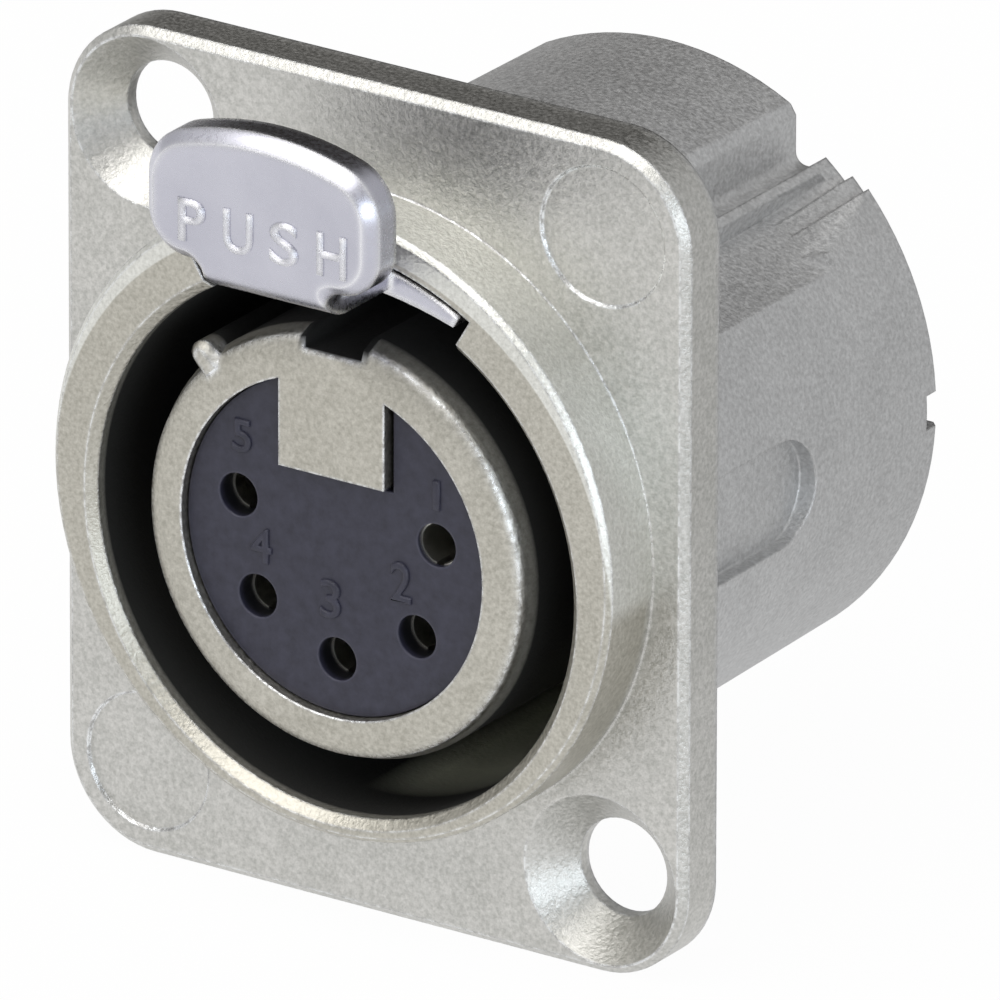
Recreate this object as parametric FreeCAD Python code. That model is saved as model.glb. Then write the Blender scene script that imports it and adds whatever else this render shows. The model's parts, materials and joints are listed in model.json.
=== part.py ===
import FreeCAD, Part
import math
import os

os.makedirs("parts", exist_ok=True)
Vector = FreeCAD.Vector

# All sizes are in millimetres. +Y runs back through the panel, +Z is up and the
# flange's back face, which sits on the panel, is the plane Y = 0.

# Flange
flange_width = 26.0
flange_height = 31.0
flange_thickness = 2.0
flange_corner_radius = 3.6
flange_edge_bevel = 0.3
screw_edge_distance = 3.5
screw_hole_diameter = 3.6
countersink_diameter = 6.3
countersink_depth = 1.5
pad_diameter = 5.1
pad_depth = 0.12

# The connector's axis lies a little below the flange's centre
axis_drop = 0.9

# Barrel, keyway, key and guide rib
barrel_bore_diameter = 12.6
barrel_wall = 1.65
barrel_nose_round = 0.85
barrel_setback = 0.1
keyway_width = 2.4
keyway_depth = 0.75
key_width = 4.4
key_drop_from_axis = 2.65
key_top_inset = 0.05
rib_width = 1.0
rib_stand = 0.15
rib_foot = 0.9
rib_angle = 133.0
rib_setback = 0.05
rib_nose_bevel = 0.25

# Ring space that the plug's shell enters, and the collar round it
ring_gap = 2.0
web_thickness = 1.5
collar_wall = 0.8
collar_projection = 2.7
collar_outer_bevel = 0.2
collar_inner_bevel = 0.35

# Rear shell
shell_step = 0.05
shell_draft = 0.25
shell_length = 16.4
shell_rear_bevel = 0.25
hump_half_width = 5.37
hump_drop_at_flange = 0.25
hump_drop_at_rear = 0.2
hump_edge_bevel = 0.3
groove_width = 0.62
groove_lip_width = 1.25
groove_lip_rise = 0.5
groove_bottom_round = 0.45
low_band_depth = 1.1
low_band_angle = 45.3
mid_band_depth = 0.7
mid_band_angle = 41.6
band_overlap_angle = 8.0
rim_notch_width = 1.3
rim_notch_depth = 0.85
pocket_half_height = 2.0
pocket_length = 7.7
pocket_depth = 0.5
cavity_wall = 1.55

# Latch slot in the collar and latch channel in the hump
slot_height = 1.45
slot_half_angle = 30.7
slot_back_y = -0.4
channel_height = 1.5
channel_end_wall = 1.5

# Latch lever. Heights are measured from the top of the ring space.
latch_plate_top_gap = 0.2
latch_plate_end_gap_angle = 2.3
latch_plate_front_inset = 0.05
latch_plate_back_gap = 0.25
latch_plate_underside_radius = 17.0
latch_plate_underside_height = 0.27
latch_neck_half_width = 2.5
latch_neck_height = 0.35
latch_neck_thickness = 0.8
latch_tab_reach = 4.45
latch_tab_thickness = 1.5
latch_tab_half_width = 4.78
latch_tab_lift = 1.6
latch_tab_height = 5.2
latch_tab_arch_radius = 11.5
latch_tab_top_corner = 2.0
latch_tab_bottom_corner = 1.6
latch_tab_front_bevel = 0.45
latch_tab_chin_round = 1.9
latch_tab_fillet = 0.7
latch_arm_half_width = 2.5
latch_arm_side_gap = 0.25
latch_arm_height = 0.1
latch_arm_thickness = 0.55
latch_arm_end_y = 5.2
latch_nose_half_width = 1.5
latch_nose_length = 2.6
latch_nose_tip_length = 1.0
latch_nose_drop = 0.95
latch_pivot_y = -1.5
latch_pivot_drop = 0.33
latch_trunnion_diameter = 1.0
latch_trunnion_root = 0.7
latch_trunnion_reach = 1.4
latch_trunnion_clearance = 0.05

# Latch spring, a bent strip between the channel's roof and the lever's arm
spring_half_width = 1.6
spring_thickness = 0.2
spring_front_y = 0.2
spring_bend_y = 1.5
spring_end_gap = 0.3
spring_tip_length = 0.7
spring_tip_lift = 0.15

# Contact insert and rear insert
insert_clearance = 0.05
insert_face_recess = 0.4
insert_key_gap = 0.15
insert_flange_clearance = 0.1
insert_flange_thickness = 2.4
rear_insert_thickness = 2.5
rear_insert_recess = 0.3

# Contacts, numbered 1 to 5 round a circle open at the top
contact_count = 5
contact_spacing = 51.5
contact_rim_wall = 0.7
contact_hole_diameter = 1.6
contact_lip = 0.9
first_contact_lip = 0.25
contact_diameter = 2.5
contact_bore_diameter = 1.5
contact_bore_length = 8.5
contact_slot_width = 0.3
contact_slot_length = 5.0
contact_clearance = 0.05
cup_bore_diameter = 1.9
cup_length = 6.4
cup_open_length = 3.0
cup_open_height = 0.35
cup_bore_length = 3.8

# Ground lug at the foot of the rear insert
lug_width = 2.4
lug_thickness = 0.5
lug_tail = 3.8
lug_hole_diameter = 1.2
lug_gap = 0.05

# Screws and the connector's rings, from the inside out
screw_offset_x = flange_width / 2 - screw_edge_distance
screw_offset_z = flange_height / 2 - screw_edge_distance
axis_z = -axis_drop
barrel_diameter = barrel_bore_diameter + 2 * barrel_wall
ring_diameter = barrel_diameter + 2 * ring_gap
ring_top_z = axis_z + ring_diameter / 2
collar_diameter = ring_diameter + 2 * (axis_drop + collar_wall)
shell_diameter_at_flange = collar_diameter + 2 * shell_step
shell_diameter_at_rear = shell_diameter_at_flange - 2 * shell_draft
cavity_diameter = shell_diameter_at_rear - 2 * (axis_drop + cavity_wall)

# Places along the axis, from the front and from the shell's rear rim
flange_front_y = -flange_thickness
collar_front_y = flange_front_y - collar_projection
barrel_front_y = collar_front_y + barrel_setback
insert_face_y = barrel_front_y + insert_face_recess
rear_insert_back_y = shell_length - rear_insert_recess
insert_back_y = rear_insert_back_y - rear_insert_thickness
cavity_floor_y = insert_back_y - insert_flange_thickness
ring_floor_y = cavity_floor_y - web_thickness
channel_end_y = ring_floor_y - channel_end_wall

# Latch slot, channel and lever
slot_roof_radius = ring_diameter / 2 + slot_height
channel_half_width = latch_arm_half_width + latch_arm_side_gap
channel_roof_z = ring_top_z + channel_height
latch_plate_radius = slot_roof_radius - latch_plate_top_gap
latch_plate_half_angle = slot_half_angle - latch_plate_end_gap_angle
latch_plate_back_y = slot_back_y - latch_plate_back_gap
latch_tab_front_y = collar_front_y - latch_tab_reach
latch_tab_bottom_z = ring_top_z + latch_tab_lift
latch_tab_top_z = latch_tab_bottom_z + latch_tab_height
latch_neck_bottom_z = ring_top_z + latch_neck_height
latch_neck_top_z = latch_neck_bottom_z + latch_neck_thickness
latch_arm_bottom_z = ring_top_z + latch_arm_height
latch_arm_top_z = latch_arm_bottom_z + latch_arm_thickness
latch_pivot_z = ring_top_z - latch_pivot_drop
latch_plate_end_x = (latch_plate_radius - latch_trunnion_root) * math.sin(
    math.radians(latch_plate_half_angle)
)
latch_trunnion_end_x = latch_plate_end_x + latch_trunnion_reach

# Inserts and contacts
stem_diameter = barrel_bore_diameter - 2 * insert_clearance
contact_seat_diameter = contact_diameter + 2 * contact_clearance
contact_circle_radius = (stem_diameter - contact_seat_diameter) / 2 - contact_rim_wall

# Helpers for cutters that only have to overlap or to reach past the part
overlap = 0.5
far = 30.0


def round_y(diameter, y_from, y_to, x=0.0, z=0.0):
    """A cylinder along Y."""
    return Part.makeCylinder(diameter / 2, y_to - y_from, Vector(x, y_from, z), Vector(0, 1, 0))


def block(x_from, x_to, y_from, y_to, z_from, z_to):
    """A box given by its limits along each axis."""
    corner = Vector(x_from, y_from, z_from)
    return Part.makeBox(x_to - x_from, y_to - y_from, z_to - z_from, corner)


def prism_y(outline, y_from, y_to):
    """A prism along Y from a closed outline of (x, z) corners."""
    corners = [Vector(x, y_from, z) for x, z in outline]
    face = Part.Face(Part.makePolygon(corners + [corners[0]]))
    return face.extrude(Vector(0, y_to - y_from, 0))


def prism_x(outline, x_from, x_to):
    """A prism along X from a closed outline of (y, z) corners."""
    corners = [Vector(x_from, y, z) for y, z in outline]
    face = Part.Face(Part.makePolygon(corners + [corners[0]]))
    return face.extrude(Vector(x_to - x_from, 0, 0))


def turned(profile, x=0.0, z=0.0):
    """A turned form about an axis along Y, from a closed profile of (radius, y) corners."""
    corners = [Vector(x + radius, y, z) for radius, y in profile]
    face = Part.Face(Part.makePolygon(corners + [corners[0]]))
    return face.revolve(Vector(x, 0, z), Vector(0, 1, 0), 360)


def quarter_round(start, corner, end, steps):
    """Corners along a quarter round from start to end, in a few equal turns."""
    centre = [start[i] + end[i] - corner[i] for i in (0, 1)]
    corners = []
    for step in range(steps + 1):
        turn = math.radians(90.0 * step / steps)
        corners.append(
            tuple(
                centre[i]
                + (start[i] - centre[i]) * math.cos(turn)
                + (end[i] - centre[i]) * math.sin(turn)
                for i in (0, 1)
            )
        )
    return corners


def wedge_y(angle_from, angle_to, y_from, y_to, z=0.0):
    """A slice of pie about an axis along Y. Angles run from +X towards +Z, in degrees."""
    a, b = math.radians(angle_from), math.radians(angle_to)
    return prism_y(
        [
            (0.0, z),
            (far * math.cos(a), z + far * math.sin(a)),
            (far * math.cos(b), z + far * math.sin(b)),
        ],
        y_from,
        y_to,
    )


def edges_where(shape, test):
    """The edges whose middle point and length pass a test."""
    found = []
    for edge in shape.Edges:
        middle = edge.valueAt((edge.FirstParameter + edge.LastParameter) / 2)
        if test(middle, edge):
            found.append(edge)
    return found


def polar(angle, radius):
    """An (x, z) place on a circle about the connector's axis."""
    turn = math.radians(angle)
    return radius * math.cos(turn), axis_z + radius * math.sin(turn)


def contact_place(number):
    """The (x, z) place of a numbered contact. Number 3 is at the bottom."""
    middle_number = (contact_count + 1) / 2
    return polar(-90.0 + (middle_number - number) * contact_spacing, contact_circle_radius)


def mirrored(shape):
    """The same shape on the other side of the middle plane."""
    return shape.mirror(Vector(0, 0, 0), Vector(1, 0, 0))


def make_flange():
    """The front plate with its rounded corners and eased front edge."""
    plate = block(
        -flange_width / 2,
        flange_width / 2,
        flange_front_y,
        0.0,
        -flange_height / 2,
        flange_height / 2,
    )
    corners = edges_where(
        plate,
        lambda middle, edge: abs(middle.y - flange_front_y / 2) < flange_thickness / 4,
    )
    plate = plate.makeFillet(flange_corner_radius, corners)
    front_edges = edges_where(plate, lambda middle, edge: abs(middle.y - flange_front_y) < 1e-6)
    return plate.makeChamfer(flange_edge_bevel, front_edges)


def make_shell_outside():
    """The rear shell's outside: a slightly tapered drum with the latch hump on top."""
    front_radius = shell_diameter_at_flange / 2
    rear_radius = shell_diameter_at_rear / 2
    shell = turned(
        [
            (0.0, -overlap),
            (front_radius, -overlap),
            (front_radius, 0.0),
            (rear_radius, shell_length - shell_rear_bevel),
            (rear_radius - shell_rear_bevel, shell_length),
            (0.0, shell_length),
        ]
    )

    # The hump's top is a little lower than the drum's own roundness.
    above = block(-hump_half_width, hump_half_width, 0.0, far, 0.0, far)
    hump_round = turned(
        [
            (0.0, 0.0),
            (front_radius - hump_drop_at_flange, 0.0),
            (rear_radius - hump_drop_at_rear, shell_length),
            (0.0, shell_length),
        ]
    )
    shell = shell.cut(above.cut(hump_round))

    # A groove beside the hump, then two shallow bands, each on both sides.
    low_band_radius = front_radius - low_band_depth
    mid_band_radius = front_radius - mid_band_depth
    lip_x = hump_half_width + groove_lip_width
    lip_z = math.sqrt(low_band_radius**2 - lip_x**2)
    bottom_z = lip_z - groove_lip_rise
    groove = prism_y(
        [
            (hump_half_width, far),
            (hump_half_width, bottom_z),
            (hump_half_width + groove_width, bottom_z),
            (lip_x, lip_z),
            (lip_x, far),
        ],
        0.0,
        far,
    )
    inner_corner = edges_where(
        groove,
        lambda middle, edge: abs(middle.x - hump_half_width) < 1e-6
        and abs(middle.z - bottom_z) < 1e-6,
    )
    groove = groove.makeFillet(groove_bottom_round, inner_corner)
    lip_angle = math.degrees(math.atan2(lip_z, lip_x))
    low_band = wedge_y(low_band_angle, lip_angle + band_overlap_angle, 0.0, far)
    low_band = low_band.cut(round_y(2 * low_band_radius, -overlap, far + overlap))
    low_band = low_band.cut(block(-far, lip_x, -overlap, far + overlap, -far, far))
    mid_band = wedge_y(mid_band_angle, low_band_angle, 0.0, far)
    mid_band = mid_band.cut(round_y(2 * mid_band_radius, -overlap, far + overlap))
    for cutter in (groove, low_band, mid_band):
        shell = shell.cut(cutter)
        shell = shell.cut(mirrored(cutter))

    # Side pockets just behind the flange and notches in the rear rim.
    pocket_floor_x = front_radius - pocket_depth
    pocket_centre_y = pocket_length - pocket_half_height
    pocket = block(pocket_floor_x, far, 0.0, pocket_centre_y, -pocket_half_height, pocket_half_height)
    pocket = pocket.fuse(
        Part.makeCylinder(
            pocket_half_height,
            far - pocket_floor_x,
            Vector(pocket_floor_x, pocket_centre_y, 0),
            Vector(1, 0, 0),
        )
    )
    notch = block(
        cavity_diameter / 2 - axis_drop,
        far,
        shell_length - rim_notch_depth,
        far,
        -rim_notch_width / 2,
        rim_notch_width / 2,
    )
    for cutter in (pocket, notch):
        shell = shell.cut(cutter)
        shell = shell.cut(mirrored(cutter))

    def is_hump_edge(middle, edge):
        near_side = abs(abs(middle.x) - hump_half_width) < 0.02
        return near_side and middle.z > lip_z and edge.Length > shell_length / 2

    return shell.makeChamfer(hump_edge_bevel, edges_where(shell, is_hump_edge))


def make_collar_outside():
    """The front collar as a turned boss with an eased front edge."""
    radius = collar_diameter / 2
    return turned(
        [
            (0.0, collar_front_y),
            (radius - collar_outer_bevel, collar_front_y),
            (radius, collar_front_y + collar_outer_bevel),
            (radius, -overlap),
            (0.0, -overlap),
        ]
    )


def make_ring_cutter():
    """The ring space's outside, flared at its mouth to ease the collar's inner edge."""
    radius = ring_diameter / 2
    mouth_radius = radius + collar_inner_bevel
    return turned(
        [
            (0.0, collar_front_y - overlap),
            (mouth_radius, collar_front_y - overlap),
            (mouth_radius, collar_front_y),
            (radius, collar_front_y + collar_inner_bevel),
            (radius, ring_floor_y),
            (0.0, ring_floor_y),
        ],
        z=axis_z,
    )


def make_barrel():
    """The inner barrel with its keyway, key and guide rib."""
    radius = barrel_diameter / 2
    bore_radius = barrel_bore_diameter / 2
    nose = quarter_round(
        (radius - barrel_nose_round, barrel_front_y),
        (radius, barrel_front_y),
        (radius, barrel_front_y + barrel_nose_round),
        2,
    )
    barrel = turned(
        [
            (bore_radius, barrel_front_y),
        ]
        + nose
        + [(radius, ring_floor_y + overlap), (bore_radius, ring_floor_y + overlap)],
        z=axis_z,
    )
    keyway = block(
        -keyway_width / 2,
        keyway_width / 2,
        barrel_front_y - overlap,
        ring_floor_y,
        axis_z + radius - keyway_depth,
        axis_z + radius + overlap,
    )
    barrel = barrel.cut(keyway)
    # The key ends inside the barrel's flat front face, clear of its rounded nose.
    flat_radius = radius - barrel_nose_round - key_top_inset
    key = block(
        -key_width / 2,
        key_width / 2,
        barrel_front_y,
        cavity_floor_y,
        axis_z + key_drop_from_axis,
        axis_z + math.sqrt(flat_radius**2 - (key_width / 2) ** 2),
    )
    return barrel.fuse([key, make_rib(radius)])


def make_rib(barrel_radius):
    """The guide rib along the barrel: a round crest on a foot that reaches over the nose."""
    front_y = barrel_front_y + rib_setback
    end_y = ring_floor_y + overlap
    crest_radius = barrel_radius + rib_stand
    crest = round_y(rib_width, front_y, end_y, x=crest_radius)
    foot = block(crest_radius - rib_foot, crest_radius, front_y, end_y, -rib_width / 2, rib_width / 2)
    rib = crest.fuse(foot).removeSplitter()
    front_edges = edges_where(rib, lambda middle, edge: abs(middle.y - front_y) < 1e-6)
    rib = rib.makeChamfer(rib_nose_bevel, front_edges)
    rib.rotate(Vector(0, 0, 0), Vector(0, 1, 0), -rib_angle)
    rib.translate(Vector(0, 0, axis_z))
    return rib


def make_latch_space():
    """What the latch needs removed: slot, rear channel and the two trunnion seats."""
    slot = wedge_y(
        90.0 - slot_half_angle,
        90.0 + slot_half_angle,
        collar_front_y - overlap,
        slot_back_y,
        axis_z,
    )
    slot = slot.common(round_y(2 * slot_roof_radius, collar_front_y - overlap, slot_back_y, z=axis_z))
    ring_middle = ring_diameter - ring_gap
    slot = slot.cut(round_y(ring_middle, collar_front_y - overlap, far, z=axis_z))
    channel = block(
        -channel_half_width,
        channel_half_width,
        slot_back_y - overlap,
        channel_end_y,
        axis_z + ring_middle / 2,
        channel_roof_z,
    )
    seat_end_x = latch_trunnion_end_x + 2 * latch_trunnion_clearance
    seat = Part.makeCylinder(
        latch_trunnion_diameter / 2 + latch_trunnion_clearance,
        2 * seat_end_x,
        Vector(-seat_end_x, latch_pivot_y, latch_pivot_z),
        Vector(1, 0, 0),
    )
    seat = seat.cut(block(-latch_neck_half_width, latch_neck_half_width, -far, far, -far, far))
    return slot.fuse([channel, seat])


def make_housing():
    """The whole zinc casting."""
    body = make_flange().fuse([make_shell_outside(), make_collar_outside()])
    body = body.cut(make_ring_cutter())
    body = body.cut(round_y(barrel_bore_diameter, collar_front_y, far, z=axis_z))
    body = body.cut(round_y(cavity_diameter, cavity_floor_y, far, z=axis_z))
    body = body.fuse(make_barrel())
    body = body.cut(make_latch_space())
    for side in (-1, 1):
        x, z = -side * screw_offset_x, side * screw_offset_z
        screw_space = turned(
            [
                (0.0, flange_front_y - overlap),
                (countersink_diameter / 2, flange_front_y - overlap),
                (countersink_diameter / 2, flange_front_y),
                (screw_hole_diameter / 2, flange_front_y + countersink_depth),
                (screw_hole_diameter / 2, overlap),
                (0.0, overlap),
            ],
            x,
            z,
        )
        pad = round_y(pad_diameter, flange_front_y - overlap, flange_front_y + pad_depth, -x, z)
        body = body.cut(screw_space).cut(pad)
    return body.removeSplitter()


def make_latch():
    """The rocking latch lever: tab, neck, plate, arm, nose and trunnions in one casting."""
    plate = wedge_y(
        90.0 - latch_plate_half_angle,
        90.0 + latch_plate_half_angle,
        collar_front_y + latch_plate_front_inset,
        latch_plate_back_y,
        axis_z,
    )
    plate = plate.common(
        round_y(2 * latch_plate_radius, collar_front_y, latch_plate_back_y, z=axis_z)
    )
    underside_z = ring_top_z + latch_plate_underside_height - latch_plate_underside_radius
    plate = plate.cut(
        round_y(2 * latch_plate_underside_radius, collar_front_y, latch_plate_back_y, z=underside_z)
    )

    tab_back_y = latch_tab_front_y + latch_tab_thickness
    tab = block(
        -latch_tab_half_width,
        latch_tab_half_width,
        latch_tab_front_y,
        tab_back_y,
        latch_tab_bottom_z,
        latch_tab_top_z,
    )
    tab = tab.common(
        round_y(
            2 * latch_tab_arch_radius,
            latch_tab_front_y,
            tab_back_y,
            z=latch_tab_top_z - latch_tab_arch_radius,
        )
    )
    middle_y = (latch_tab_front_y + tab_back_y) / 2
    middle_z = (latch_tab_bottom_z + latch_tab_top_z) / 2
    top_corners = edges_where(
        tab,
        lambda middle, edge: abs(middle.y - middle_y) < 0.01
        and abs(middle.x) > latch_tab_half_width - 0.01
        and middle.z > middle_z,
    )
    tab = tab.makeFillet(latch_tab_top_corner, top_corners)
    bottom_corners = edges_where(
        tab,
        lambda middle, edge: abs(middle.y - middle_y) < 0.01
        and abs(middle.x) > latch_tab_half_width - 0.01
        and middle.z < latch_tab_bottom_z + 0.01,
    )
    tab = tab.makeFillet(latch_tab_bottom_corner, bottom_corners)
    root = block(
        -latch_neck_half_width,
        latch_neck_half_width,
        latch_tab_front_y,
        tab_back_y,
        latch_neck_bottom_z,
        middle_z,
    )
    tab = tab.fuse(root).removeSplitter()
    inner_corners = edges_where(
        tab,
        lambda middle, edge: abs(middle.y - middle_y) < 0.01
        and abs(abs(middle.x) - latch_neck_half_width) < 0.01
        and abs(middle.z - latch_tab_bottom_z) < 0.01,
    )
    tab = tab.makeFillet(latch_tab_fillet, inner_corners)
    front_edges = edges_where(
        tab,
        lambda middle, edge: abs(middle.y - latch_tab_front_y) < 0.01
        and middle.z > latch_neck_bottom_z + 0.01,
    )
    tab = tab.makeChamfer(latch_tab_front_bevel, front_edges)

    neck = block(
        -latch_neck_half_width,
        latch_neck_half_width,
        tab_back_y - overlap,
        collar_front_y + overlap,
        latch_neck_bottom_z,
        latch_neck_top_z,
    )
    # The tab's front curves back under itself into the neck's underside.
    chin_y = latch_tab_front_y + latch_tab_chin_round
    chin_z = latch_neck_bottom_z + latch_tab_chin_round
    chin = Part.makeCylinder(
        latch_tab_chin_round, 2 * far, Vector(-far, chin_y, chin_z), Vector(1, 0, 0)
    )
    under_chin = block(-far, far, chin_y - far, chin_y, chin_z - far, chin_z)
    tab = tab.fuse(neck).cut(under_chin.cut(chin))

    arm = block(
        -latch_arm_half_width,
        latch_arm_half_width,
        latch_plate_back_y - overlap,
        latch_arm_end_y,
        latch_arm_bottom_z,
        latch_arm_top_z,
    )
    nose_root_z = (latch_arm_bottom_z + latch_arm_top_z) / 2
    nose_tip_z = ring_top_z - latch_nose_drop
    nose_front_y = latch_arm_end_y - latch_nose_length
    nose = prism_x(
        [
            (nose_front_y, nose_root_z),
            (nose_front_y, latch_arm_bottom_z),
            (latch_arm_end_y - latch_nose_tip_length, nose_tip_z),
            (latch_arm_end_y, nose_tip_z),
            (latch_arm_end_y, nose_root_z),
        ],
        -latch_nose_half_width,
        latch_nose_half_width,
    )
    trunnion_root_x = latch_plate_end_x - latch_trunnion_root / 2
    trunnion = Part.makeCylinder(
        latch_trunnion_diameter / 2,
        latch_trunnion_end_x - trunnion_root_x,
        Vector(trunnion_root_x, latch_pivot_y, latch_pivot_z),
        Vector(1, 0, 0),
    )
    lever = plate.fuse([tab, arm, nose, trunnion, mirrored(trunnion)])
    return lever.removeSplitter()


def make_latch_spring():
    """A bent spring strip that holds the lever's arm down."""
    roof = channel_roof_z
    touch = latch_arm_top_z
    tip = touch + spring_tip_lift
    thick = spring_thickness
    end_y = latch_arm_end_y - spring_end_gap
    touch_y = end_y - spring_tip_length
    return prism_x(
        [
            (spring_front_y, roof),
            (spring_bend_y, roof),
            (touch_y, touch + thick),
            (end_y, tip + thick),
            (end_y, tip),
            (touch_y, touch),
            (spring_bend_y - thick / 2, roof - thick),
            (spring_front_y, roof - thick),
        ],
        -spring_half_width,
        spring_half_width,
    )


def lip_of(number):
    """How far behind the insert's face a contact starts."""
    return first_contact_lip if number == 1 else contact_lip


def make_contact_insert():
    """The moulded front insert that the numbers stand on."""
    flange_radius = cavity_diameter / 2 - insert_flange_clearance
    insert = turned(
        [
            (0.0, insert_face_y),
            (stem_diameter / 2, insert_face_y),
            (stem_diameter / 2, cavity_floor_y),
            (flange_radius, cavity_floor_y),
            (flange_radius, insert_back_y),
            (0.0, insert_back_y),
        ],
        z=axis_z,
    )
    key_slot = block(
        -key_width / 2 - insert_key_gap,
        key_width / 2 + insert_key_gap,
        insert_face_y - overlap,
        cavity_floor_y,
        axis_z + key_drop_from_axis - insert_key_gap,
        far,
    )
    insert = insert.cut(key_slot)
    hole_radius = contact_hole_diameter / 2
    seat_radius = contact_seat_diameter / 2
    for number in range(1, contact_count + 1):
        x, z = contact_place(number)
        seat_y = insert_face_y + lip_of(number)
        hole = turned(
            [
                (0.0, insert_face_y - overlap),
                (hole_radius, insert_face_y - overlap),
                (hole_radius, seat_y),
                (seat_radius, seat_y),
                (seat_radius, insert_back_y + overlap),
                (0.0, insert_back_y + overlap),
            ],
            x,
            z,
        )
        insert = insert.cut(hole)
    return insert.cut(make_lug_space()).removeSplitter()


def make_lug_space():
    """The notch at the foot of both inserts that the ground lug lies in."""
    floor_z = axis_z - cavity_diameter / 2
    return block(
        -lug_width / 2 - lug_gap,
        lug_width / 2 + lug_gap,
        cavity_floor_y - overlap,
        rear_insert_back_y + overlap,
        floor_z - overlap,
        floor_z + lug_thickness,
    )


def make_rear_insert():
    """The plug that closes the shell from behind and holds the contacts."""
    plug = round_y(cavity_diameter, insert_back_y, rear_insert_back_y, z=axis_z)
    for number in range(1, contact_count + 1):
        x, z = contact_place(number)
        plug = plug.cut(round_y(contact_seat_diameter, insert_back_y, far, x, z))
    return plug.cut(make_lug_space()).removeSplitter()


def make_contact(number):
    """One turned socket contact with a slotted mouth and a solder cup."""
    x, z = contact_place(number)
    front_y = insert_face_y + lip_of(number)
    bore_end_y = front_y + contact_bore_length
    cup_end_y = insert_back_y + cup_length
    cup_floor_y = cup_end_y - cup_bore_length
    contact = turned(
        [
            (contact_bore_diameter / 2, front_y),
            (contact_diameter / 2, front_y),
            (contact_diameter / 2, cup_end_y),
            (cup_bore_diameter / 2, cup_end_y),
            (cup_bore_diameter / 2, cup_floor_y),
            (0.0, cup_floor_y),
            (0.0, bore_end_y),
            (contact_bore_diameter / 2, bore_end_y),
        ],
        x,
        z,
    )
    saw = block(
        x - contact_slot_width / 2,
        x + contact_slot_width / 2,
        front_y - overlap,
        front_y + contact_slot_length,
        z - contact_diameter,
        z + contact_diameter,
    )
    cup_opening = block(
        x - contact_diameter,
        x + contact_diameter,
        cup_end_y - cup_open_length,
        cup_end_y + overlap,
        z + cup_open_height,
        z + contact_diameter,
    )
    return contact.cut(saw).cut(cup_opening).removeSplitter()


def make_ground_lug():
    """The flat lug that lies on the shell's floor and ends in a solder eye."""
    floor_z = axis_z - cavity_diameter / 2
    eye_y = rear_insert_back_y + lug_tail - lug_width / 2
    lug = block(
        -lug_width / 2, lug_width / 2, cavity_floor_y, eye_y, floor_z, floor_z + lug_thickness
    )
    eye_end = Part.makeCylinder(lug_width / 2, lug_thickness, Vector(0, eye_y, floor_z))
    eye = Part.makeCylinder(
        lug_hole_diameter / 2, lug_thickness + 2 * overlap, Vector(0, eye_y, floor_z - overlap)
    )
    # The lug's edges follow the round floor of the shell.
    floor_round = round_y(cavity_diameter, cavity_floor_y, far, z=axis_z)
    return lug.fuse(eye_end).removeSplitter().cut(eye).common(floor_round)


shapes = {
    "housing": make_housing(),
    "latch": make_latch(),
    "latch_spring": make_latch_spring(),
    "contact_insert": make_contact_insert(),
    "rear_insert": make_rear_insert(),
    "ground_lug": make_ground_lug(),
}
for number in range(1, contact_count + 1):
    shapes["contact_%d" % number] = make_contact(number)

for name, shape in shapes.items():
    shape.exportStep("parts/%s.step" % name)
    box = shape.BoundBox
    print(
        "%-15s solids %d valid %s volume %9.3f  x %.2f %.2f  y %.2f %.2f  z %.2f %.2f"
        % (
            name,
            len(shape.Solids),
            shape.isValid(),
            shape.Volume,
            box.XMin,
            box.XMax,
            box.YMin,
            box.YMax,
            box.ZMin,
            box.ZMax,
        )
    )
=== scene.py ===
import json
import math

import bpy
from mathutils import Matrix, Vector

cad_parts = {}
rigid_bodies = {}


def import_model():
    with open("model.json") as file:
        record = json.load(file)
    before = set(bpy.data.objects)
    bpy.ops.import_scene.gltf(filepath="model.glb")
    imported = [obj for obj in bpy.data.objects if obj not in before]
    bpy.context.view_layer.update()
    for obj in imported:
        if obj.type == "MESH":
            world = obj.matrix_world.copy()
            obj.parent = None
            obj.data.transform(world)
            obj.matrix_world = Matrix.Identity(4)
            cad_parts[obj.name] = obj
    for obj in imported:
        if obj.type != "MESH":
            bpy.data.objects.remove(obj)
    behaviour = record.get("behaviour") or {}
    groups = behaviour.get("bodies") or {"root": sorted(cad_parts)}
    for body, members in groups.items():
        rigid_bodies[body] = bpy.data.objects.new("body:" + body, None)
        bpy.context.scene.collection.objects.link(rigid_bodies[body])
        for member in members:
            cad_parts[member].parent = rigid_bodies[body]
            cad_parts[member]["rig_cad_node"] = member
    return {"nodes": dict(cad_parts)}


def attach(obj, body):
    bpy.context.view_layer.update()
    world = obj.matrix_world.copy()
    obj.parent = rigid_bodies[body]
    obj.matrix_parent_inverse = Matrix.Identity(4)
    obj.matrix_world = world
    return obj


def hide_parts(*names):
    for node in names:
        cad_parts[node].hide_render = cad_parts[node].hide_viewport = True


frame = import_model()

# Blender's own startup objects go, so that only the socket is shown.
for startup in list(bpy.data.objects):
    if "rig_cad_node" not in startup and not startup.name.startswith("body:"):
        bpy.data.objects.remove(startup)
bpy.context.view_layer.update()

MM = 0.001
TOUCH = 0.02 * MM

# Places on the socket, as in the CAD: +Y runs back through the panel and +Z is up.
# The ring, the barrel and the drum share one middle line along Y.
AXIS_Z = -0.9 * MM
INSERT_FACE_Y = -4.2 * MM
TAB_FACE_Y = -9.15 * MM
FLOOR_Z = -15.5 * MM

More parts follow.
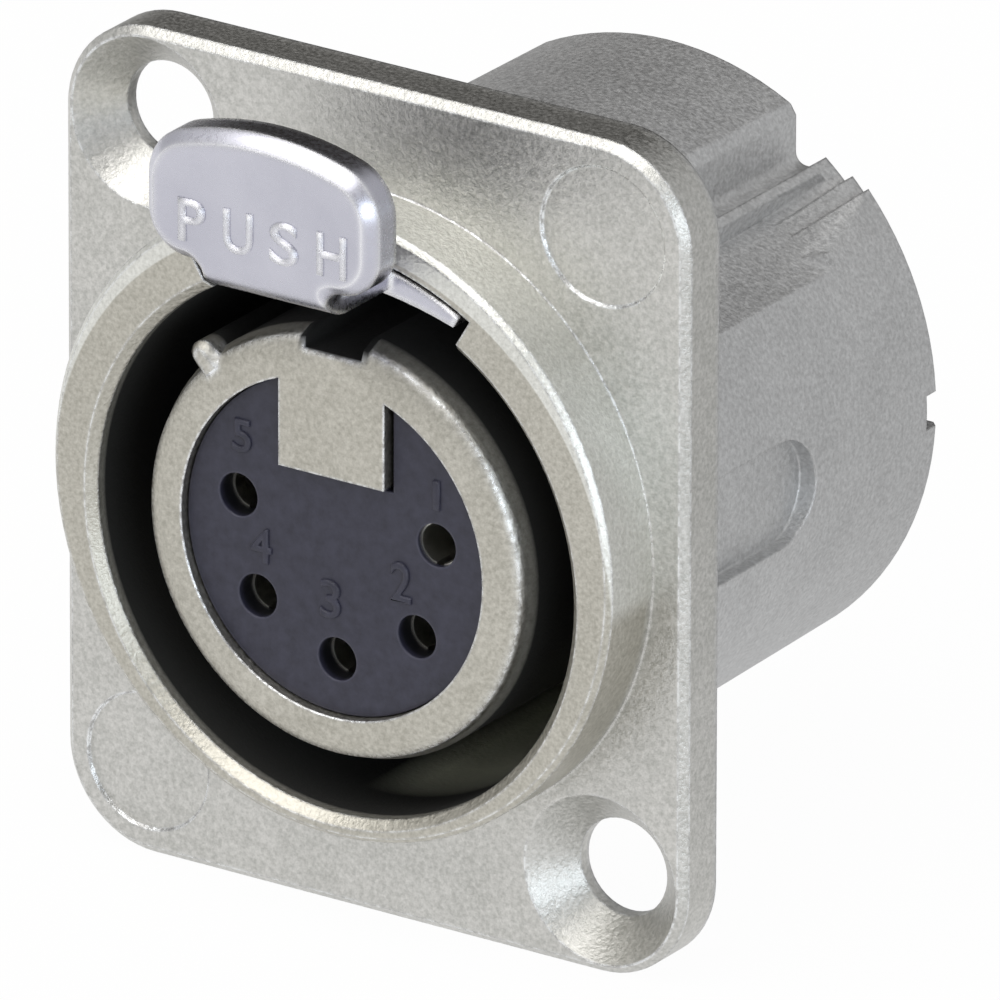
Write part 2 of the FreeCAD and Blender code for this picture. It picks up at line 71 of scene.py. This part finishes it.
# The bands beside the hump: their edges as angles about the middle line, where they start to
# rise and where they stand out in full, and the smooth slope in front of them
BESIDE_HUMP_X = 5.9 * MM
BESIDE_HUMP_Z = 5.6 * MM
BESIDE_HUMP_Y = 0.1 * MM
BAND_LOW_ANGLE = 40.0
BAND_HIGH_ANGLE = 51.4
BAND_START_Y = 12.4 * MM
BAND_FULL_Y = 15.6 * MM
BAND_INSIDE = 10.3 * MM
BAND_OUTSIDE = 12.5 * MM
SLOPE_HIGH_RADIUS = 10.6
SLOPE_FALL = 1.1
SLOPE_TAPER = 0.015

# The side pockets, and how far the scene takes them beyond the CAD's
POCKET_FLOOR_X = 11.2 * MM
POCKET_OUTSIDE_X = 12.2 * MM
POCKET_HALF_HEIGHT = 2.0 * MM
POCKET_REGION_Y = 9.0 * MM
POCKET_END_Y = 4.9 * MM
POCKET_END_RUN = 0.7 * MM
POCKET_DEEPER = 0.32 * MM
POCKET_LONGER = 0.65 * MM

# Camera, fitted to the photograph: turn to the right, height angle, roll, distance
CAMERA_TURN = 33.830
CAMERA_HEIGHT = 22.270
CAMERA_ROLL = 0.142
CAMERA_DISTANCE = 1039.762 * MM
CAMERA_ASIDE = 3.2837 * MM
CAMERA_UP = -0.5738 * MM
CAMERA_LENS = 1078.93
CAMERA_SENSOR = 36.0


def deselect_all():
    if bpy.context.mode != "OBJECT":
        bpy.ops.object.mode_set(mode="OBJECT")
    bpy.ops.object.select_all(action="DESELECT")


def pick(piece):
    deselect_all()
    piece.select_set(True)
    bpy.context.view_layer.objects.active = piece


# Node helpers

def new_material(name):
    material = bpy.data.materials.new(name)
    material.use_nodes = True
    tree = material.node_tree
    shader = tree.nodes["Principled BSDF"]
    place = tree.nodes.new("ShaderNodeTexCoord")
    return material, tree, shader, place.outputs["Object"]


def add_noise(tree, place, scale, detail, roughness):
    noise = tree.nodes.new("ShaderNodeTexNoise")
    noise.inputs["Scale"].default_value = scale
    noise.inputs["Detail"].default_value = detail
    noise.inputs["Roughness"].default_value = roughness
    tree.links.new(place, noise.inputs["Vector"])
    return noise.outputs["Fac"]


def add_range(tree, value, low, high, to_low, to_high):
    ranged = tree.nodes.new("ShaderNodeMapRange")
    ranged.inputs["From Min"].default_value = low
    ranged.inputs["From Max"].default_value = high
    ranged.inputs["To Min"].default_value = to_low
    ranged.inputs["To Max"].default_value = to_high
    tree.links.new(value, ranged.inputs["Value"])
    return ranged.outputs["Result"]


def add_mask(tree, value, span):
    """0 up to the span's first number and 1 from its second, whichever of them is larger."""
    start, full = span
    return add_range(tree, value, start, full, 0.0, 1.0)


def add_math(tree, operation, first, second):
    step = tree.nodes.new("ShaderNodeMath")
    step.operation = operation
    tree.links.new(first, step.inputs[0])
    tree.links.new(second, step.inputs[1])
    return step.outputs[0]


def add_product(tree, *factors):
    product = factors[0]
    for factor in factors[1:]:
        product = add_math(tree, "MULTIPLY", product, factor)
    return product


def add_dot(tree, place, direction):
    """How far a place lies along a direction."""
    along = tree.nodes.new("ShaderNodeVectorMath")
    along.operation = "DOT_PRODUCT"
    along.inputs[1].default_value = direction
    tree.links.new(place, along.inputs[0])
    return along.outputs["Value"]


def add_mix(tree, factor, first, second):
    """Two colours, each given as numbers or as the output of another node."""
    mix = tree.nodes.new("ShaderNodeMix")
    mix.data_type = "RGBA"
    for socket, colour in (("A", first), ("B", second)):
        if isinstance(colour, tuple):
            mix.inputs[socket].default_value = (*colour, 1.0)
        else:
            tree.links.new(colour, mix.inputs[socket])
    tree.links.new(factor, mix.inputs["Factor"])
    return mix.outputs["Result"]


def add_bump(tree, height, strength, distance, before=None):
    bump = tree.nodes.new("ShaderNodeBump")
    bump.inputs["Strength"].default_value = strength
    bump.inputs["Distance"].default_value = distance
    tree.links.new(height, bump.inputs["Height"])
    if before is not None:
        tree.links.new(before, bump.inputs["Normal"])
    return bump.outputs["Normal"]


def add_round_edge(tree, radius):
    """Rounded shading along sharp edges, and a mask that is 1 on them and 0 on flat faces."""
    edge = tree.nodes.new("ShaderNodeBevel")
    edge.samples = 6
    if isinstance(radius, float):
        edge.inputs["Radius"].default_value = radius
    else:
        tree.links.new(radius, edge.inputs["Radius"])
    flat = tree.nodes.new("ShaderNodeNewGeometry")
    turn = tree.nodes.new("ShaderNodeVectorMath")
    turn.operation = "DOT_PRODUCT"
    tree.links.new(edge.outputs["Normal"], turn.inputs[0])
    tree.links.new(flat.outputs["Normal"], turn.inputs[1])
    return edge.outputs["Normal"], add_mask(tree, turn.outputs["Value"], (0.995, 0.90))


def split_place(tree, place):
    parts = tree.nodes.new("ShaderNodeSeparateXYZ")
    tree.links.new(place, parts.inputs[0])
    return parts.outputs


def add_reach(tree, across, high):
    """Distance from the middle line of the ring and the barrel."""
    flat = tree.nodes.new("ShaderNodeCombineXYZ")
    tree.links.new(across, flat.inputs["X"])
    tree.links.new(high, flat.inputs["Z"])
    reach = tree.nodes.new("ShaderNodeVectorMath")
    reach.operation = "DISTANCE"
    reach.inputs[1].default_value = (0.0, 0.0, AXIS_Z)
    tree.links.new(flat.outputs[0], reach.inputs[0])
    return reach.outputs["Value"]


# Finishes

# Where a part of the casting's finish, painted light and shade among them, starts and where it is full, by
# distance from the middle line
BEYOND_BORE = (6.9 * MM, 7.2 * MM)
WITHIN_NOSE = (8.6 * MM, 8.4 * MM)
BEYOND_NOSE = (7.4 * MM, 7.7 * MM)
WITHIN_RING_MIDDLE = (9.0 * MM, 8.8 * MM)
BEYOND_RING_MIDDLE = (8.8 * MM, 9.0 * MM)
WITHIN_COLLAR_BORE = (10.06 * MM, 10.0 * MM)
ON_COLLAR_WALL = (11.58 * MM, 11.64 * MM)
BEYOND_COLLAR = (12.0 * MM, 12.2 * MM)

# The same by depth along Y
BEFORE_DRUM = (0.2 * MM, -0.3 * MM)
ON_COLLAR = (-2.05 * MM, -2.4 * MM)
BEFORE_FLANGE = (-2.0 * MM, -2.1 * MM)
CLEAR_OF_FLANGE = (-2.4 * MM, -2.8 * MM)
DOWN_THE_BARREL = (-4.15 * MM, -3.5 * MM)
DOWN_THE_COLLAR = (-4.40 * MM, -3.9 * MM)
DOWN_THE_KEYWAY = (-4.55 * MM, -4.35 * MM)
DOWN_THE_RING = (-2.0 * MM, 1.0 * MM)
BEFORE_RING_FLOOR = (10.2 * MM, 10.0 * MM)
IN_CONTACT_HOLE = (-4.12 * MM, -3.85 * MM)

# The keyway's width, as the square of the place across, and its height
IN_KEYWAY_WIDTH = ((1.5 * MM) ** 2, (1.4 * MM) ** 2)
IN_KEYWAY_HEIGHT = (5.2 * MM, 5.4 * MM)

# The patch low on the right of the ring where painted light goes, a lighter greenish grey
PAINTED_LIGHT_WAY = (0.55, 0.0, -0.84)
PAINTED_LIGHT_SPAN = (8.8 * MM, 9.7 * MM)

EDGE_ROUND = 0.16 * MM
NOSE_ROUND = 0.50 * MM
TAB_ROUND = 0.42 * MM
PLASTIC_ROUND = 0.15 * MM


def add_ring_painted_shade(tree, place, across, deep, high, reach):
    """Mask and colour of painted shade in the ring between the collar and the barrel and in the keyway: painted
    black with depth, with a patch of painted light low on the right.
    """
    closed = add_mask(tree, deep, BEFORE_RING_FLOOR)
    barrel_side = add_product(
        tree,
        add_mask(tree, reach, BEYOND_NOSE),
        add_mask(tree, reach, WITHIN_RING_MIDDLE),
        add_mask(tree, deep, DOWN_THE_BARREL),
        closed,
    )
    collar_side = add_product(
        tree,
        add_mask(tree, reach, BEYOND_RING_MIDDLE),
        add_mask(tree, reach, WITHIN_COLLAR_BORE),
        add_mask(tree, deep, DOWN_THE_COLLAR),
        closed,
    )
    keyway = add_product(
        tree,
        add_mask(tree, add_math(tree, "MULTIPLY", across, across), IN_KEYWAY_WIDTH),
        add_mask(tree, high, IN_KEYWAY_HEIGHT),
        add_mask(tree, reach, WITHIN_RING_MIDDLE),
        add_mask(tree, deep, DOWN_THE_KEYWAY),
        closed,
    )
    black = add_math(tree, "MAXIMUM", add_math(tree, "MAXIMUM", barrel_side, collar_side), keyway)
    # painted light: a lighter patch low on the right of the ring, where light falls in
    painted_light_patch = add_product(
        tree,
        add_mask(tree, add_dot(tree, place, PAINTED_LIGHT_WAY), PAINTED_LIGHT_SPAN),
        add_mask(tree, deep, DOWN_THE_RING),
    )
    return black, add_mix(tree, painted_light_patch, (0.008, 0.008, 0.007), (0.92, 0.94, 0.74))


def satin_nickel():
    """Blasted zinc casting with a satin nickel plate: sandy grain, painted highlight along the edges that also
    stands for rubbed plate, painted light and shade in the ring, and painted light and shade in the tones of the
    collar, flange and drum.
    """
    material, tree, shader, place = new_material("satin_nickel")
    parts = split_place(tree, place)
    across, deep, high = parts["X"], parts["Y"], parts["Z"]
    reach = add_reach(tree, across, high)

    # the barrel's nose is rounder than the other edges
    nose = add_product(tree, add_mask(tree, reach, BEYOND_BORE), add_mask(tree, reach, WITHIN_NOSE))
    rounded, edges = add_round_edge(tree, add_range(tree, nose, 0.0, 1.0, EDGE_ROUND, NOSE_ROUND))

    # plate tones painted as light and shade on one plating: the collar and the barrel darker and warmer, the
    # flange lighter and cooler, the drum behind it greyest
    before_drum = add_mask(tree, deep, BEFORE_DRUM)
    blotch = add_range(tree, add_noise(tree, place, 300.0, 5.0, 0.6), 0.3, 0.7, 0.45, 0.55)
    grain = add_noise(tree, place, 6200.0, 3.0, 0.65)
    tone = add_mask(tree, add_math(tree, "ADD", blotch, grain), (0.80, 1.20))
    drum = add_mix(tree, tone, (0.49, 0.49, 0.49), (0.70, 0.70, 0.70))
    flange = add_mix(tree, tone, (0.46, 0.46, 0.435), (0.71, 0.70, 0.675))
    collar = add_mix(tree, tone, (0.40, 0.385, 0.335), (0.62, 0.60, 0.54))
    collar_wall_painted_light = add_mix(tree, tone, (0.62, 0.62, 0.58), (0.86, 0.86, 0.82))
    plate = add_mix(tree, before_drum, drum, flange)
    plate = add_mix(tree, add_mask(tree, deep, ON_COLLAR), plate, collar)
    # painted light: the collar's outer wall is made lighter than the rest of the plate
    on_wall = add_product(tree, add_mask(tree, reach, ON_COLLAR_WALL), add_mask(tree, deep, BEFORE_FLANGE))
    plate = add_mix(tree, on_wall, plate, collar_wall_painted_light)

    # painted highlight in bluish white dashes along the sharp edges, which also stands for rubbed plate, but not
    # in the inner corner at the collar's foot
    open_edge = add_math(
        tree, "MAXIMUM", add_mask(tree, reach, BEYOND_COLLAR), add_mask(tree, deep, CLEAR_OF_FLANGE)
    )
    dashes = add_mask(tree, add_noise(tree, place, 3300.0, 2.0, 0.6), (0.43, 0.57))
    wear_and_edge_glint = add_mix(tree, dashes, (0.50, 0.50, 0.50), (0.96, 0.98, 1.0))
    plate = add_mix(tree, add_product(tree, edges, open_edge, before_drum), plate, wear_and_edge_glint)

    # painted shade: the ring and the keyway go near black with depth, with the patch of painted light
    black, painted_ring_shade = add_ring_painted_shade(tree, place, across, deep, high, reach)
    tree.links.new(add_mix(tree, black, plate, painted_ring_shade), shader.inputs["Base Color"])
    tree.links.new(add_range(tree, black, 0.0, 1.0, 1.0, 0.0), shader.inputs["Metallic"])

    # the drum behind the flange was blasted coarser than the face
    dull = add_range(tree, deep, -0.5 * MM, 0.5 * MM, 0.42, 0.56)
    sheen = add_math(tree, "ADD", dull, add_range(tree, grain, 0.3, 0.7, -0.06, 0.06))
    sheen = add_math(tree, "SUBTRACT", sheen, add_range(tree, edges, 0.0, 1.0, 0.0, 0.14))
    sheen = add_math(tree, "MAXIMUM", sheen, add_range(tree, black, 0.0, 1.0, 0.0, 0.8))
    tree.links.new(sheen, shader.inputs["Roughness"])
    ripple = add_noise(tree, place, 2300.0, 2.0, 0.5)
    normal = add_bump(tree, ripple, 0.3, 0.05 * MM, rounded)
    tree.links.new(add_bump(tree, grain, 0.9, 0.03 * MM, normal), shader.inputs["Normal"])
    return material


def bright_nickel():
    """Polished latch lever: cool, bright and only slightly rippled, with painted highlight along its edges."""
    material, tree, shader, place = new_material("bright_nickel")
    shader.inputs["Metallic"].default_value = 1.0
    rounded, edges = add_round_edge(tree, TAB_ROUND)
    tone = add_mask(tree, add_noise(tree, place, 260.0, 3.0, 0.5), (0.35, 0.65))
    plate = add_mix(tree, tone, (0.53, 0.53, 0.60), (0.59, 0.59, 0.66))
    # painted highlight: near white along the lever's edges
    tree.links.new(add_mix(tree, edges, plate, (0.96, 0.96, 0.98)), shader.inputs["Base Color"])
    grain = add_noise(tree, place, 6500.0, 2.0, 0.5)
    tree.links.new(add_range(tree, grain, 0.3, 0.7, 0.24, 0.33), shader.inputs["Roughness"])
    ripple = add_noise(tree, place, 1100.0, 2.0, 0.5)
    normal = add_bump(tree, ripple, 0.05, 0.04 * MM, rounded)
    tree.links.new(add_bump(tree, grain, 0.06, 0.02 * MM, normal), shader.inputs["Normal"])
    return material


def violet_plastic():
    """Dark violet grey moulding, faintly mottled by its glass filling, with painted highlight along its edges and
    painted shade, near black, down in its holes.
    """
    material, tree, shader, place = new_material("violet_plastic")
    rounded, edges = add_round_edge(tree, PLASTIC_ROUND)
    parts = split_place(tree, place)
    mottle = add_noise(tree, place, 1900.0, 4.0, 0.65)
    tone = add_mask(tree, mottle, (0.3, 0.7))
    plastic = add_mix(tree, tone, (0.015, 0.015, 0.028), (0.028, 0.028, 0.050))
    # painted highlight: lighter along the rims and edges
    plastic = add_mix(tree, edges, plastic, (0.055, 0.055, 0.085))
    # painted shade: near black down in the contact holes
    in_hole = add_mask(tree, parts["Y"], IN_CONTACT_HOLE)
    tree.links.new(add_mix(tree, in_hole, plastic, (0.004, 0.004, 0.006)), shader.inputs["Base Color"])
    tree.links.new(add_range(tree, mottle, 0.3, 0.7, 0.50, 0.40), shader.inputs["Roughness"])
    grain = add_noise(tree, place, 5200.0, 2.0, 0.5)
    tree.links.new(add_bump(tree, grain, 0.25, 0.03 * MM, rounded), shader.inputs["Normal"])
    return material


def black_plastic():
    """Plain black moulding that closes the shell from behind."""
    material, tree, shader, place = new_material("black_plastic")
    mottle = add_noise(tree, place, 1100.0, 3.0, 0.6)
    tone = add_mask(tree, mottle, (0.3, 0.7))
    plastic = add_mix(tree, tone, (0.012, 0.012, 0.014), (0.022, 0.022, 0.025))
    tree.links.new(plastic, shader.inputs["Base Color"])
    tree.links.new(add_range(tree, mottle, 0.3, 0.7, 0.42, 0.55), shader.inputs["Roughness"])
    grain = add_noise(tree, place, 3600.0, 2.0, 0.5)
    tree.links.new(add_bump(tree, grain, 0.15, 0.03 * MM), shader.inputs["Normal"])
    return material


def clouded_metal(name, darker, lighter):
    """Smooth plated or rolled metal, slightly clouded."""
    material, tree, shader, place = new_material(name)
    shader.inputs["Metallic"].default_value = 1.0
    cloud = add_noise(tree, place, 600.0, 3.0, 0.6)
    tone = add_mask(tree, cloud, (0.35, 0.65))
    tree.links.new(add_mix(tree, tone, darker, lighter), shader.inputs["Base Color"])
    tree.links.new(add_range(tree, cloud, 0.3, 0.7, 0.24, 0.36), shader.inputs["Roughness"])
    grain = add_noise(tree, place, 3000.0, 2.0, 0.5)
    tree.links.new(add_bump(tree, grain, 0.1, 0.02 * MM), shader.inputs["Normal"])
    return material


NICKEL = satin_nickel()
BRIGHT = bright_nickel()
VIOLET = violet_plastic()
BLACK = black_plastic()
SILVER = clouded_metal("silver_plate", (0.70, 0.68, 0.62), (0.80, 0.79, 0.74))
STEEL = clouded_metal("spring_steel", (0.50, 0.50, 0.51), (0.60, 0.60, 0.61))

# The five contacts are silver plated too.
FINISHES = {
    "housing": NICKEL,
    "latch": BRIGHT,
    "latch_spring": STEEL,
    "contact_insert": VIOLET,
    "rear_insert": BLACK,
    "ground_lug": SILVER,
}


def give_finish(piece, finish):
    for number in range(len(piece.material_slots)):
        piece.material_slots[number].material = finish


for node_name, node in frame["nodes"].items():
    give_finish(node, FINISHES.get(node_name, SILVER))


# Metal castings with eased edges

def joined_copy(node_name, piece_name):
    """The node's loose triangles, merged into one closed skin of its own."""
    source = frame["nodes"][node_name]
    piece = source.copy()
    piece.data = source.data.copy()
    piece.name = piece_name
    piece.data.name = piece_name
    for key in list(piece.keys()):
        del piece[key]
    piece.parent = None
    bpy.context.scene.collection.objects.link(piece)
    pick(piece)
    bpy.ops.mesh.customdata_custom_splitnormals_clear()
    bpy.ops.object.mode_set(mode="EDIT")
    bpy.ops.mesh.select_all(action="SELECT")
    bpy.ops.mesh.remove_doubles(threshold=0.0005 * MM)
    bpy.ops.mesh.select_all(action="DESELECT")
    bpy.ops.object.mode_set(mode="OBJECT")
    return piece


def cut_across(piece, wanted, depth):
    """Divides the wanted faces along a plane at one depth."""
    pick(piece)
    for face in piece.data.polygons:
        face.select = wanted(face.center)
    bpy.ops.object.mode_set(mode="EDIT")
    bpy.ops.mesh.select_mode(type="FACE")
    bpy.ops.mesh.bisect(plane_co=(0.0, depth, 0.0), plane_no=(0.0, 1.0, 0.0))
    bpy.ops.mesh.select_all(action="DESELECT")
    bpy.ops.object.mode_set(mode="OBJECT")


def blend_rim_bands(casting):
    """The shallow bands beside the hump only stand out at the rear rim; before it the drum runs smoothly."""

    def beside_hump(spot):
        return abs(spot.x) > BESIDE_HUMP_X and spot.z > BESIDE_HUMP_Z and spot.y > BESIDE_HUMP_Y

    cut_across(casting, beside_hump, BAND_START_Y)
    cut_across(casting, beside_hump, BAND_FULL_Y)
    for vertex in casting.data.vertices:
        spot = vertex.co
        out = math.hypot(spot.x, spot.z - AXIS_Z)
        angle = math.degrees(math.atan2(spot.z - AXIS_Z, abs(spot.x)))
        on_band = BAND_LOW_ANGLE < angle < BAND_HIGH_ANGLE and BAND_INSIDE < out < BAND_OUTSIDE
        if on_band and -TOUCH / 2 < spot.y < BAND_START_Y + TOUCH / 2:
            share = (BAND_HIGH_ANGLE - angle) / (BAND_HIGH_ANGLE - BAND_LOW_ANGLE)
            smooth = (SLOPE_HIGH_RADIUS + SLOPE_FALL * share - SLOPE_TAPER * spot.y / MM) * MM
            spot.x *= smooth / out
            spot.z = AXIS_Z + (spot.z - AXIS_Z) * smooth / out


def deepen_side_pockets(casting):
    """The pocket on each side of the drum is deeper and runs a little further back."""
    for vertex in casting.data.vertices:
        spot = vertex.co
        aside = abs(spot.x)
        in_pocket = (
            POCKET_FLOOR_X - TOUCH < aside < POCKET_OUTSIDE_X
            and abs(spot.z) < POCKET_HALF_HEIGHT + TOUCH
            and -TOUCH / 2 < spot.y < POCKET_REGION_Y
        )
        if in_pocket:
            if abs(aside - POCKET_FLOOR_X) < TOUCH:
                spot.x -= math.copysign(POCKET_DEEPER, spot.x)
            share = min(max((spot.y - POCKET_END_Y) / POCKET_END_RUN, 0.0), 1.0)
            spot.y += POCKET_LONGER * share


def finish_casting(piece, body, finish, node_name):
    pick(piece)
    bpy.ops.object.shade_smooth_by_angle(angle=math.radians(30.0))
    soften = piece.modifiers.new("soften", "WEIGHTED_NORMAL")
    soften.keep_sharp = True
    soften.weight = 60
    bpy.ops.object.modifier_apply(modifier="soften")
    give_finish(piece, finish)
    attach(piece, body)
    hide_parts(node_name)


casting = joined_copy("housing", "casting")
blend_rim_bands(casting)
deepen_side_pockets(casting)
finish_casting(casting, "socket", NICKEL, "housing")
lever = joined_copy("latch", "latch_casting")
finish_casting(lever, "latch_lever", BRIGHT, "latch")


# Raised numbers on the insert and the word on the latch tab

CAPITAL_SHARE = 0.7
NUMBER_RISE = 0.11 * MM
NUMBER_WEIGHT = -0.04 * MM
LETTER_RISE = 0.10 * MM
LETTER_WEIGHT = -0.03 * MM
LETTER_HEIGHT = 1.60
LETTER_MIDDLE_Z = 12.21

# Middle across, middle in height, height and width of each number, in millimetres
NUMBERS = {
    "5": (-3.98, 2.30, 1.25, 0.80),
    "4": (-3.18, -1.62, 1.30, 0.90),
    "3": (-0.27, -2.97, 1.45, 0.85),
    "2": (2.68, -1.65, 1.50, 0.85),
    "1": (4.15, 1.93, 1.10, 0.30),
}
# Middle across and width of each letter, in millimetres
LETTERS = {"P": (-2.69, 1.12), "U": (-0.76, 1.22), "S": (1.14, 1.18), "H": (3.12, 1.22)}


def raised_sign(name, words, middle, height, width, face_y, rise, weight):
    """One round-edged letter or number that stands a little proud of a face that looks out of the socket."""
    deselect_all()
    bpy.ops.object.text_add(location=(0.0, 0.0, 0.0), rotation=(math.radians(90.0), 0.0, 0.0))
    text = bpy.context.object
    text.name = name
    text.data.body = words
    text.data.size = height / CAPITAL_SHARE
    text.data.extrude = rise * 0.3
    text.data.bevel_depth = rise * 0.7
    text.data.bevel_resolution = 2
    text.data.offset = weight
    text.data.resolution_u = 5
    bpy.ops.object.convert(target="MESH")
    sign = bpy.context.object
    lowest, highest = (
        Vector([end(vertex.co[side] for vertex in sign.data.vertices) for side in range(2)])
        for end in (min, max)
    )
    size = highest - lowest
    centre = (lowest + highest) / 2
    grow = (width / size.x, height / size.y)
    sign.scale = (grow[0], grow[1], 1.0)
    sign.location = (middle[0] - centre.x * grow[0], face_y, middle[1] - centre.y * grow[1])
    bpy.ops.object.transform_apply(location=True, rotation=True, scale=True)
    bpy.ops.object.mode_set(mode="EDIT")
    bpy.ops.mesh.select_all(action="SELECT")
    bpy.ops.mesh.remove_doubles(threshold=0.002 * MM)
    bpy.ops.mesh.normals_make_consistent(inside=False)
    bpy.ops.object.mode_set(mode="OBJECT")
    bpy.ops.object.shade_smooth_by_angle(angle=math.radians(60.0))
    return sign


def mount_sign(sign, finish, body):
    sign.data.materials.clear()
    sign.data.materials.append(finish)
    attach(sign, body)


for digit, (x, z, high, wide) in NUMBERS.items():
    number = raised_sign(
        "number_" + digit, digit, (x * MM, z * MM), high * MM, wide * MM,
        INSERT_FACE_Y, NUMBER_RISE, NUMBER_WEIGHT,
    )
    mount_sign(number, VIOLET, "socket")
for capital, (x, wide) in LETTERS.items():
    letter = raised_sign(
        "letter_" + capital, capital, (x * MM, LETTER_MIDDLE_Z * MM), LETTER_HEIGHT * MM, wide * MM,
        TAB_FACE_Y, LETTER_RISE, LETTER_WEIGHT,
    )
    mount_sign(letter, BRIGHT, "latch_lever")


# Floor, light and camera

# What the metal mirrors of the floor: brighter in front of the socket than behind it
FLOOR_BACKWARD = (0.56, 0.83, 0.0)
FLOOR_GRADE = (0.0, 0.045)
FLOOR_IN_FRONT = 1.0
FLOOR_BEHIND = 0.60
FLOOR_SIZE = 6.0
FLOOR_CAMERA_SHARE = 0.97
FLOOR_MIRROR_SHARE = 0.9

# The room is grey, with a dim warm part behind on the left
ROOM_GREY = (0.60, 0.60, 0.60)
ROOM_DIM = (0.020, 0.017, 0.013)
ROOM_DIM_WAY = (-0.42, 0.77, 0.48)
ROOM_DIM_SPAN = (0.74, 0.95)


def floor_material():
    """Pale floor: white to the camera, softly graded in what the metal mirrors, and it keeps a faint shadow."""
    material = bpy.data.materials.new("studio_floor")
    material.use_nodes = True
    tree = material.node_tree
    tree.nodes.clear()
    pale = tree.nodes.new("ShaderNodeBsdfDiffuse")
    pale.inputs["Color"].default_value = (0.80, 0.80, 0.79, 1.0)
    seen = tree.nodes.new("ShaderNodeEmission")
    mirrored = tree.nodes.new("ShaderNodeEmission")
    place = tree.nodes.new("ShaderNodeTexCoord")
    along = add_dot(tree, place.outputs["Object"], FLOOR_BACKWARD)
    grade = add_range(tree, along, *FLOOR_GRADE, FLOOR_IN_FRONT, FLOOR_BEHIND)
    tree.links.new(grade, mirrored.inputs["Strength"])

    path = tree.nodes.new("ShaderNodeLightPath").outputs
    mirroring = add_math(tree, "MAXIMUM", path["Is Glossy Ray"], path["Is Transmission Ray"])
    lit_or_mirrored = tree.nodes.new("ShaderNodeMixShader")
    tree.links.new(add_range(tree, mirroring, 0.0, 1.0, 0.0, FLOOR_MIRROR_SHARE), lit_or_mirrored.inputs["Fac"])
    tree.links.new(pale.outputs[0], lit_or_mirrored.inputs[1])
    tree.links.new(mirrored.outputs[0], lit_or_mirrored.inputs[2])
    whole = tree.nodes.new("ShaderNodeMixShader")
    tree.links.new(add_range(tree, path["Is Camera Ray"], 0.0, 1.0, 0.0, FLOOR_CAMERA_SHARE), whole.inputs["Fac"])
    tree.links.new(lit_or_mirrored.outputs[0], whole.inputs[1])
    tree.links.new(seen.outputs[0], whole.inputs[2])
    out = tree.nodes.new("ShaderNodeOutputMaterial")
    tree.links.new(whole.outputs[0], out.inputs["Surface"])
    return material


def add_light(name, place, size, power, colour):
    data = bpy.data.lights.new(name, "AREA")
    data.shape = "RECTANGLE"
    data.size, data.size_y = size
    data.energy = power
    data.color = colour
    lamp = bpy.data.objects.new(name, data)
    bpy.context.scene.collection.objects.link(lamp)
    lamp.location = place
    lamp.rotation_euler = (-Vector(place)).to_track_quat("-Z", "Y").to_euler()


def studio_world():
    """A pale grey room with a dim warm part behind on the left."""
    world = bpy.data.worlds.new("studio")
    bpy.context.scene.world = world
    world.use_nodes = True
    tree = world.node_tree
    way = tree.nodes.new("ShaderNodeTexCoord")
    dim = add_mask(tree, add_dot(tree, way.outputs["Generated"], ROOM_DIM_WAY), ROOM_DIM_SPAN)
    background = tree.nodes["Background"]
    tree.links.new(add_mix(tree, dim, ROOM_GREY, ROOM_DIM), background.inputs["Color"])
    background.inputs["Strength"].default_value = 1.0


def add_camera():
    turn, height, roll = (math.radians(a) for a in (CAMERA_TURN, CAMERA_HEIGHT, CAMERA_ROLL))
    back = Vector(
        (math.sin(turn) * math.cos(height), -math.cos(turn) * math.cos(height), math.sin(height))
    )
    right = Vector((math.cos(turn), math.sin(turn), 0.0))
    up = back.cross(right)
    across = math.cos(roll) * right + math.sin(roll) * up
    upward = -math.sin(roll) * right + math.cos(roll) * up
    place = back * CAMERA_DISTANCE + across * CAMERA_ASIDE + upward * CAMERA_UP
    data = bpy.data.cameras.new("camera")
    data.lens = CAMERA_LENS
    data.sensor_width = CAMERA_SENSOR
    data.sensor_fit = "AUTO"
    data.clip_start = 0.05
    data.clip_end = 20.0
    camera = bpy.data.objects.new("camera", data)
    bpy.context.scene.collection.objects.link(camera)
    camera.matrix_world = Matrix(
        (
            (across.x, upward.x, back.x, place.x),
            (across.y, upward.y, back.y, place.y),
            (across.z, upward.z, back.z, place.z),
            (0.0, 0.0, 0.0, 1.0),
        )
    )
    return camera


deselect_all()
bpy.ops.mesh.primitive_plane_add(size=FLOOR_SIZE, location=(0.0, 0.0, FLOOR_Z))
floor = bpy.context.object
floor.name = "floor"
floor.data.materials.append(floor_material())

add_light("overhead", (-0.15, -0.44, 0.88), (1.0, 0.9), 7.0, (1.0, 0.985, 0.96))
add_light("window", (0.82, -0.50, 0.12), (0.5, 0.5), 3.0, (0.82, 0.91, 1.0))
studio_world()
bpy.context.scene.camera = add_camera()
bpy.context.scene.view_settings.view_transform = "Standard"
